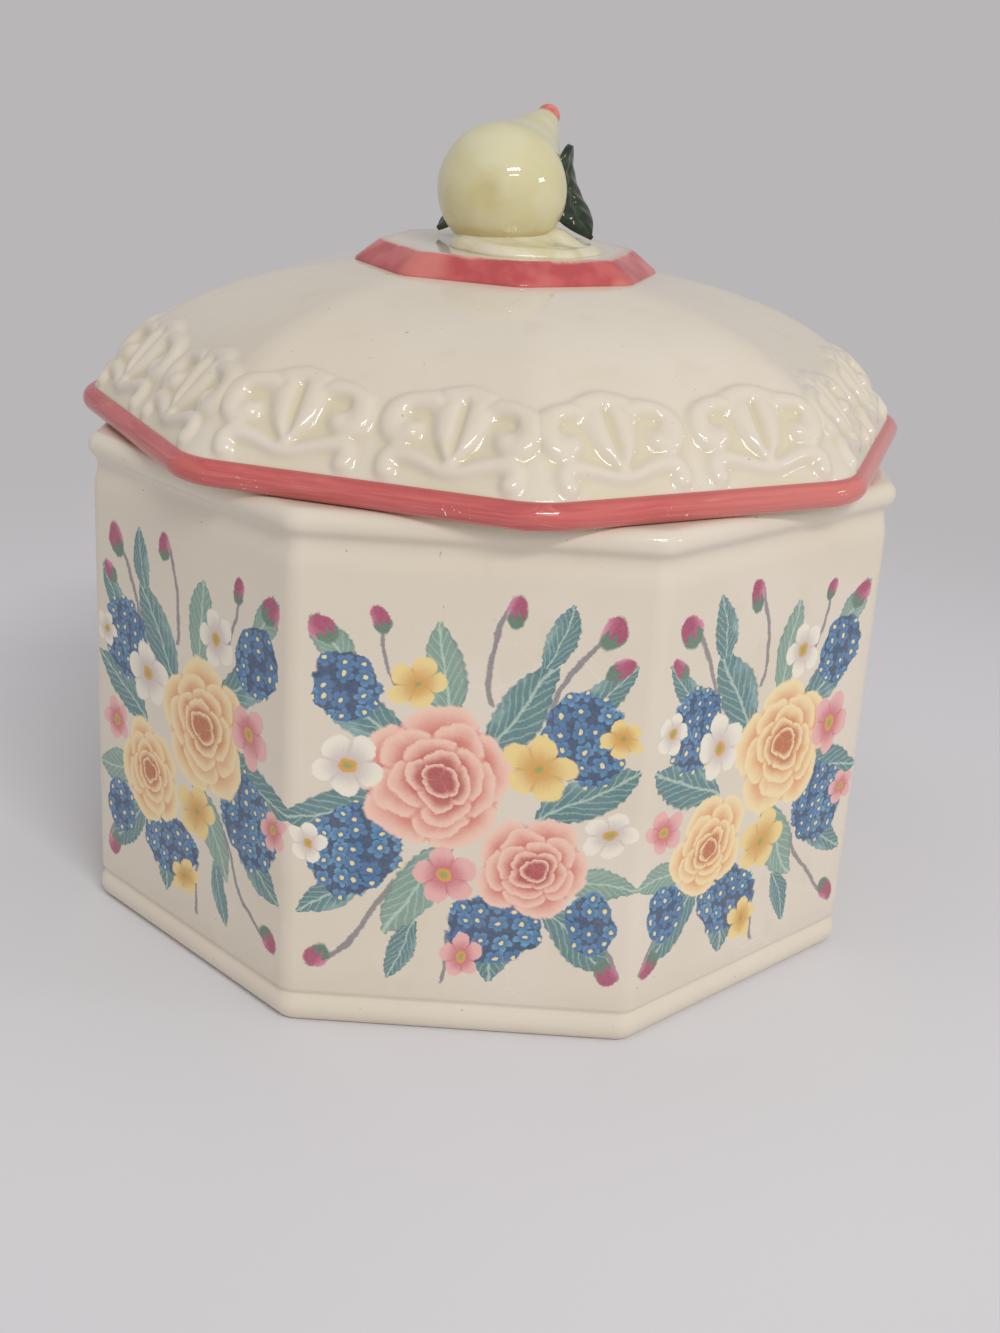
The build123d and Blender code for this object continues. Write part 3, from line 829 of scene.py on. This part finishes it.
# Places on a face in millimetres: across, up, turn in degrees, half length and half width
ROSES = [(-6, 52, 20, 14.5, 14.5), (13, 36, 75, 11, 11)]
LEAVES = [(-22, 45, 195, 12, 4.6), (-19, 64, 143, 12, 4.8), (-5, 72, 97, 10, 4.2), (9, 66, 58, 12, 4.8),
          (22, 51, 28, 11, 4.4), (25, 33, -14, 8, 3.6), (21, 22, -48, 10, 4.2), (7, 20, -92, 9, 3.8),
          (-8, 31, 238, 12, 4.8), (-23, 29, 214, 9, 3.6), (24, 70, 48, 8, 3.2), (-25, 77, 128, 7.5, 3),
          (-11, 18, 250, 7, 2.8), (15, 80, 74, 7, 2.8)]
PRIMROSES = [(13, 56, 10, 7.2, 7.2), (-21, 54, 50, 6.4, 6.4), (-3, 33, 30, 6.6, 6.6),
             (-10, 71, 0, 5.6, 5.6), (26, 43, 70, 5, 5), (1, 17, 25, 4.6, 4.6), (28, 62, 40, 4, 4),
             (-28, 38, 5, 4.2, 4.2)]
CLUSTERS = [(21, 62, 20, 7, 8), (-20, 37, -25, 7.5, 9), (6, 23, 10, 8, 6.5), (-22, 69, 30, 5.5, 6.5),
            (24, 25, 0, 4.5, 5.5)]
STEMS = [(-21, 74, 128, 12, 4), (20, 74, 62, 12, 4), (-21, 22, 230, 13, 4), (24, 20, -52, 9, 4),
         (5, 77, 82, 11, 4), (-14, 75, 112, 8, 3), (-4, 14, 262, 8, 3)]
BUDS = [(-27, 80, 128, 3.6, 2.4), (24, 82, 62, 3.8, 2.6), (-27, 15, 232, 3.4, 2.3), (27, 15, -55, 3.4, 2.3),
        (7, 85, 85, 3.4, 2.2), (-17, 82, 105, 3, 2), (26, 75, 30, 3, 2)]

# A rose's rings of petals: size as a share of the rose, number of petals and turn
ROSE_RINGS = [(1.0, 5, 0.3), (0.79, 5, 1.4), (0.6, 4, 0.2), (0.42, 4, 1.1), (0.25, 3, 0.5)]

# How the print's edges waver: the size of the waves and how far they push
PRINT_WAVERS = [(17, 5.0), (2.4, 0.9), (0.5, 0.5)]


def nearest(place, spots):
    """The place seen from the nearest of some spots: along and across it, how far off, and its number."""
    best = gap = number = None
    for index, (x, y, turn, length, width) in enumerate(spots):
        seen = add("Mapping", place, (x, y, 0), (0, 0, radians(turn)), (length, width, 1),
                   vector_type="TEXTURE")
        distance = vectors("LENGTH", seen)
        if best is None:
            best, gap, number = seen, distance, 0.0
            continue
        closer = math("LESS_THAN", distance, gap)
        best = add("Mix", closer, best, seen, data_type="VECTOR")
        number = add("Mix", closer, number, float(index), data_type="FLOAT")
        gap = math("MINIMUM", gap, distance)
    along, across, _ = parts(best)
    return along, across, gap, number


def petals(heading, count, turn=0.0):
    """1 along the middle of each petal and 0 between two."""
    return math("POWER", abs(math("COSINE", heading * (count / 2) + turn)), 0.6)


def painted_leaf(below, place, tint):
    """Almond leaves with a pale midrib, side veins and a dark half."""
    along, across, _, number = nearest(place, LEAVES)
    side = abs(across)
    blade = 1 - along * along + math("SINE", along * 34) * 0.035
    share = side / math("MAXIMUM", blade, 0.01)
    colour = mix(ramp(across + tint * 1.6, 0.3, 1.3), shade(78, 124, 128), shade(150, 188, 184))
    colour = mix(ramp(math("MODULO", number, 3.0), 1.2, 1.9), colour, shade(156, 182, 152), 0.5)
    veins = math("SINE", (along - side * 0.75) * 26)
    colour = mix(ramp(veins, 0.55, 0.95), colour, shade(190, 214, 206), 0.35)
    colour = mix(ramp(side, 0.09, 0.02), colour, shade(190, 210, 194), 0.7)
    colour = mix(ramp(share, 0.7, 0.95), colour, shade(56, 98, 108), 0.5)
    return mix(ramp(share, 1.0, 0.86) * ramp(abs(along), 0.99, 0.94), below, colour)


def painted_stem(below, place):
    """Thin curved stems."""
    along, across, _, _ = nearest(place, STEMS)
    bow = (1 - along * along) * 0.55
    line = ramp(abs(across - bow), 0.17, 0.08) * ramp(abs(along), 1.0, 0.94)
    return mix(line, below, shade(116, 112, 122), 0.85)


def painted_bud(below, place, tint):
    """Magenta buds in green cups."""
    along, across, gap, _ = nearest(place, BUDS)
    colour = mix(ramp(across + tint, 0.0, 1.2), shade(168, 62, 104), shade(222, 138, 166))
    cup = ramp(along + math("SINE", across * 9) * 0.22, -0.1, -0.3)
    colour = mix(cup, colour, shade(86, 122, 104))
    return mix(ramp(gap, 1.0, 0.8), below, colour)


def painted_cluster(below, place, tint):
    """Dense heads of small blue florets."""
    _, _, gap, _ = nearest(place, CLUSTERS)
    cell = outputs(add("TexVoronoi", place, 1 / FLORET, 0.0, 0.5, 2.0, 0.55, voronoi_dimensions="2D"))
    spread = vectors("SUBTRACT", place, cell["Position"])
    x, y, _ = parts(spread)
    reach = vectors("LENGTH", spread) / (FLORET * 0.6)
    tone, turn, _ = parts(cell["Color"])
    edge = petals(math("ARCTAN2", y, x), 5, turn) * 0.42 + 0.55
    blue = mix(tone, shade(38, 102, 154), shade(100, 164, 200))
    blue = mix(ramp(reach, 0.2, 0.9), shade(44, 100, 152), blue)
    blue = mix(ramp(reach, 0.26, 0.16), blue, shade(238, 220, 150))
    colour = mix(ramp(reach, edge, edge - 0.16), shade(28, 68, 108), blue)
    ragged = gap + (reach - 0.6) * 0.14 + tint * 0.3
    return mix(ramp(ragged, 1.13, 1.07), below, colour)


def painted_primrose(below, place, parity):
    """Five-petalled flowers, yellow, white or pink."""
    along, across, reach, number = nearest(place, PRIMROSES)
    heading = math("ARCTAN2", across, along)
    wave = petals(heading, 5)
    edge = wave * 0.4 + 0.6
    kind = math("MODULO", number + parity, 3.0)
    white, pink = ramp(kind, 0.4, 0.6), ramp(kind, 1.4, 1.6)
    light = mix(white, shade(240, 212, 138), shade(240, 232, 214))
    light = mix(pink, light, shade(236, 176, 172))
    deep = mix(white, shade(214, 160, 78), shade(206, 192, 186))
    deep = mix(pink, deep, shade(202, 104, 116))
    colour = mix(ramp(reach, 0.15, 0.8), deep, light)
    rays = ramp(math("SINE", heading * 35), 0.2, 1.0) * ramp(reach, 0.75, 0.3)
    colour = mix(rays, colour, deep, 0.35)
    colour = mix(ramp(wave, 0.5, 0.2), colour, deep, 0.7)
    eye = mix(ramp(reach, 0.04, 0.18), shade(150, 160, 88), shade(222, 158, 52))
    colour = mix(ramp(reach, 0.25, 0.2), colour, eye)
    return mix(ramp(reach, edge, edge - 0.07), below, colour)


def painted_rose(below, place, tint, parity):
    """Full roses: rings of petals, each pale at its rim and deep where it goes under the next."""
    along, across, gap, _ = nearest(place, ROSES)
    heading = math("ARCTAN2", across, along)
    reach = gap + tint * 0.12
    pale = mix(parity, shade(244, 200, 180), shade(246, 222, 170))
    deep = mix(parity, shade(214, 112, 98), shade(226, 150, 92))
    heart = mix(parity, shade(176, 70, 74), shade(190, 104, 58))
    under = mix(ramp(reach, 0.55, 0.1), deep, heart)
    colour = below
    for size, count, turn in ROSE_RINGS:
        wave = petals(heading, count, turn)
        share = reach / ((wave * 0.2 + 0.8) * size)
        petal = mix(ramp(share, 0.96, 0.62), pale, under)
        petal = mix(ramp(wave, 0.42, 0.15), petal, deep, 0.55)
        colour = mix(ramp(share, 1.0, 0.95), colour, petal)
    return colour


def jar_paint(place):
    """Cream glaze with the whole print over it, in watercolour tones."""
    glaze = cream_paint(place)
    out, along, number = facet(place, 0.0)
    height = parts(place)[2]
    parity = math("MODULO", abs(number), 2.0)
    flat = add("CombineXYZ", along * (1 - parity * 2), height)
    for size, reach in PRINT_WAVERS:
        push = vectors("SUBTRACT", add("TexNoise", place, 1 / size, 1.0, result=1), (0.5, 0.5, 0.5))
        flat = vectors("ADD", flat, vectors("MULTIPLY", push, (reach, reach, 0)))
    tint = noise(place, 3.2, 3) - 0.5
    colour = painted_stem(glaze, flat)
    colour = painted_leaf(colour, flat, tint)
    colour = painted_bud(colour, flat, tint)
    colour = painted_cluster(colour, flat, tint)
    colour = painted_rose(colour, flat, tint, parity)
    colour = painted_primrose(colour, flat, parity)
    upright = ramp(height, PRINT_FOOT, PRINT_FOOT + 1) * ramp(height, PRINT_HEAD, PRINT_HEAD - 1)
    inside = ramp(out, PRINT_OUT, PRINT_OUT + 0.5) * upright
    grain = noise(place, 0.55) * 0.5 + noise(place, 7) * 0.35
    return mix(inside * (grain * -0.34 + 1.04), glaze, colour)


# Glazes of the other pieces

def brushed_coral(along, across):
    """Coral paint with brush streaks along a band."""
    stroke = add("CombineXYZ", along * 0.05, across * 1.4)
    streaks = add("TexNoise", stroke, 1.0, 3.0, 0.6)
    colour = mix(ramp(streaks, 0.4, 0.62), CORAL, CORAL_DEEP)
    pale = ramp(add("TexNoise", stroke, 1.9, 2.0, 0.5), 0.55, 0.75)
    return mix(pale, colour, CORAL_PALE, 0.6)


def roll_paint(place):
    """Brushed coral, darker along the roll's top, with chips low on its front, and painted light that makes
    it paler to the right.
    """
    out, along, number = facet(place, LID_TURN)
    x, _, height = parts(place)
    reach = along + number * (2 * ROLL_OUT * tan(HALF_STEP))
    colour = brushed_coral(reach, height + out * 0.6)
    colour = mix(patches(place, 60, 1, 0.46, 0.62), colour, CORAL_PALE, 0.2)
    # Painted light: the roll grows paler to the right, where the light falls on it
    colour = mix(ramp(x, ROLL_PAINTED_LIGHT_FROM, ROLL_PAINTED_LIGHT_TO), colour, CORAL_PALE, 0.65)
    colour = mix(ramp(height, ROLL_TOP - 0.7, ROLL_TOP - 0.1), colour, CORAL_DEEP, 0.5)
    worn = patches(place, 14, 2, 0.54, 0.62) * ramp(height, ROLL_TOP - 1, SEAT + 2)
    return mix(patches(place, 0.7, 1, 0.68, 0.74) * worn, colour, CREAM_PALE, 0.9)


def plate_paint(place):
    """A cream top with a coral bevel painted round it in soft patches, washed thin at its inner edge."""
    out, along, _ = facet(place, LID_TURN)
    paint = mix(patches(place, 5, 2, 0.36, 0.66), CORAL_DEEP, CORAL)
    paint = mix(patches(place, 13, 1, 0.5, 0.66), paint, CORAL_PALE, 0.7)
    rounded = out * 0.6 + math("SQRT", out * out + along * along) * 0.385
    ragged = rounded + (noise(place, 4, 3) - 0.5) * 2.2
    wash = ramp(ragged, PLATE_TOP_OUT - PLATE_WASH, PLATE_TOP_OUT + 0.2)
    colour = mix(wash, cream_paint(place), CORAL_PALE, 0.6)
    return mix(ramp(ragged, PLATE_TOP_OUT - 0.7, PLATE_TOP_OUT + 0.3), colour, paint)


def pear_paint(place):
    """Pale yellow-green glaze, with ochre at the foot and round the blossom end, and an ochre ring above
    the foot that paints the shade of a shallow crease.
    """
    waver = (noise(place, 5) - 0.5) * 5
    colour = mix(patches(place, 9, 2, 0.35, 0.7), shade(211, 203, 158), shade(219, 212, 176))
    rise = parts(place)[2] - PLATE_TOP
    colour = mix(ramp(rise + waver, PEAR_FOOT_TINT, 1.0), colour, shade(206, 188, 132), 0.6)
    # Painted shade: an ochre ring for a shallow crease above the foot, which the mesh does not have
    ring = ramp(abs(rise + waver * 0.3 - PEAR_SHADE_RING_RISE), 1.4, 0.2)
    colour = mix(ring, colour, shade(188, 166, 100), 0.4)
    gap = vectors("DISTANCE", place, pear_middle + blossom_front * PEAR_RADIUS)
    return mix(ramp(gap + waver, BLOSSOM_TINT, 0.5), colour, shade(194, 178, 108), 0.55)


def stem_paint(place):
    """Coral paint in paler and deeper streaks."""
    return mix(patches(place, 2.2, 3, 0.35, 0.65), shade(214, 108, 100), shade(232, 142, 128))


def pad_paint(place):
    """Cream-yellow glaze with thicker, greener runs."""
    return mix(patches(place, 6, 3, 0.42, 0.66), shade(224, 216, 190), shade(212, 202, 160))


def leaf_paint(place):
    """Dark green glaze with paler brush strokes."""
    return mix(patches(place, 3, 3, 0.42, 0.68), shade(32, 43, 28), shade(54, 68, 42))


def seal_material():
    """Cloudy soft silicone."""
    made, surface, place = new_material("seal_silicone", 0.45)
    clouds = patches(place, 7, 3, 0.35, 0.7)
    join(surface.inputs["Base Color"], mix(clouds, shade(222, 221, 214), shade(206, 205, 198)))
    join(surface.inputs["Normal"], bump(noise(place, 0.8, 1), 0.03))
    return made


def seen_directly(tree):
    """1 for rays that show the surroundings as they are: from the camera, a mirror or glass."""
    rays = outputs(add("LightPath", tree=tree))
    seen = rays["Is Camera Ray"] + rays["Is Glossy Ray"] + rays["Is Transmission Ray"]
    return math("MINIMUM", seen, 1.0)


def floor_material():
    """A plain pale floor that keeps the canister's shadow and fades into the backdrop's colour."""
    made, surface, place = new_material("studio_floor", 0.7)
    clouds = patches(place, 220, 2, 0.3, 0.7)
    join(surface.inputs["Base Color"], mix(clouds, shade(222, 220, 222), shade(226, 224, 226)))
    fade = ramp(vectors("LENGTH", place), FADE_FROM, FADE_TO) * seen_directly(place.tree)
    glow = add("Emission", BACKDROP, 1.0, tree=place.tree)
    output = made.node_tree.nodes["Material Output"]
    join(output.inputs["Surface"], add("MixShader", fade, Value(surface.outputs[0]), glow))
    return made


# Pieces of the object

sprigs = [f"shell_sprig_{number:02}" for number in range(1, 17)]
leaf_glaze = glazed("leaf_green_glaze", 0.07, leaf_paint)
right_leaf = leaf("leaf_blade_right", 1, RIGHT_LEAF_GROUND, RIGHT_LEAF_WIDEST)
left_leaf = leaf("leaf_blade_left", -1, LEFT_LEAF_GROUND, LEFT_LEAF_WIDEST)
put(jar(), glazed("jar_cream_glaze", 0.08, jar_paint), "jar", "cream_glaze", "jar_body")
put(dome(), glazed("lid_cream_glaze", 0.06, lid_paint, 0.06), "lid", "cream_glaze", "lid_shell", *sprigs)
put(roll(), glazed("coral_roll_glaze", 0.08, roll_paint), "lid", "coral_glaze", "lid_roll")
put(plate(), glazed("plinth_glaze", 0.08, plate_paint), "lid", "coral_glaze", "knob_plate")
put(pad(), glazed("pad_glaze", 0.12, pad_paint), "lid", "pear_glaze", "finial_pad")
put(pear(), glazed("pear_glaze", 0.06, pear_paint), "lid", "pear_glaze", "pear")
put(stem(), glazed("stem_coral_glaze", 0.12, stem_paint), "lid", "coral_glaze", "pear_stem")
put(right_leaf, leaf_glaze, "lid", "leaf_glaze", "leaf_right")
put(left_leaf, leaf_glaze, "lid", "leaf_glaze", "leaf_left")
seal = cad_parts["seal_ring"]
seal.data.materials.clear()
seal.data.materials.append(seal_material())


# Studio, in metres and watts

FLOOR_RADIUS = 6.0
AMBIENT = (0.54, 0.54, 0.55, 1.0)
LAMP_TARGET = Vector((0, 0, 0.08))

# Lamps: direction from the canister, distance, width, height and power
LAMPS = {
    "window_upper": ((0.33, -0.75, 0.70), 1.5, 0.62, 0.11, 7.9),
    "window_lower": ((0.33, -0.75, 0.46), 1.5, 0.5, 0.06, 1.2),
    "side_lamp": ((0.96, -0.16, 0.34), 1.2, 0.24, 0.08, 0.7),
}

# Camera, as fitted to the octagon's corners: lens and sensor are in millimetres
LENS = 47.667
SENSOR_WIDTH = 36.0
NEAR_CLIP = 0.01
CAMERA_SWING = radians(1.227)
CAMERA_RISE = radians(25.413)
CAMERA_ROLL = radians(3.467)
CAMERA_DISTANCE = 0.40939
CAMERA_LIFT = 0.005806
CAMERA_TARGET = (0.003706, 0.0, 0.04582)


def studio_floor():
    """A wide round floor."""
    turns = np.linspace(0, 2 * pi, 96, endpoint=False)
    rim = [(FLOOR_RADIUS * cos(turn), FLOOR_RADIUS * sin(turn), 0) for turn in turns]
    mesh = bpy.data.meshes.new("studio_floor")
    mesh.from_pydata(rim, [], [range(len(rim))])
    floor = bpy.data.objects.new("studio_floor", mesh)
    floor.data.materials.append(floor_material())
    bpy.context.scene.collection.objects.link(floor)


def softbox(name, towards, distance, width, height, power):
    """A rectangular lamp that faces the canister from a direction."""
    lamp = bpy.data.lights.new(name, "AREA")
    lamp.shape = "RECTANGLE"
    lamp.size = width
    lamp.size_y = height
    lamp.energy = power
    stand = bpy.data.objects.new(name, lamp)
    stand.location = LAMP_TARGET + Vector(towards).normalized() * distance
    stand.rotation_euler = (LAMP_TARGET - stand.location).to_track_quat("-Z", "Y").to_euler()
    bpy.context.scene.collection.objects.link(stand)


def studio_world():
    """Even light from all round, with the backdrop's colour where it is seen."""
    world = bpy.data.worlds.new("studio")
    world.use_nodes = True
    background = world.node_tree.nodes["Background"]
    join(background.inputs["Color"], mix(seen_directly(world.node_tree), AMBIENT, BACKDROP))
    bpy.context.scene.world = world


def camera():
    """The camera at the photograph's viewpoint."""
    view = bpy.data.cameras.new("camera")
    view.lens = LENS
    view.sensor_width = SENSOR_WIDTH
    view.clip_start = NEAR_CLIP
    swing = Matrix.Rotation(CAMERA_SWING, 3, "Z")
    way = swing @ Vector((0, -cos(CAMERA_RISE), sin(CAMERA_RISE)))
    place = way * CAMERA_DISTANCE + up * CAMERA_LIFT
    target = swing @ Vector(CAMERA_TARGET)
    stand = bpy.data.objects.new("camera", view)
    look = (target - place).to_track_quat("-Z", "Y").to_matrix()
    tilt = Matrix.Rotation(CAMERA_ROLL, 3, "Z")
    stand.matrix_world = Matrix.Translation(place) @ (look @ tilt).to_4x4()
    bpy.context.scene.collection.objects.link(stand)
    bpy.context.scene.camera = stand


studio_floor()
studio_world()
for lamp_name, lamp_values in LAMPS.items():
    softbox(lamp_name, *lamp_values)
camera()
bpy.context.scene.view_settings.view_transform = "Standard"
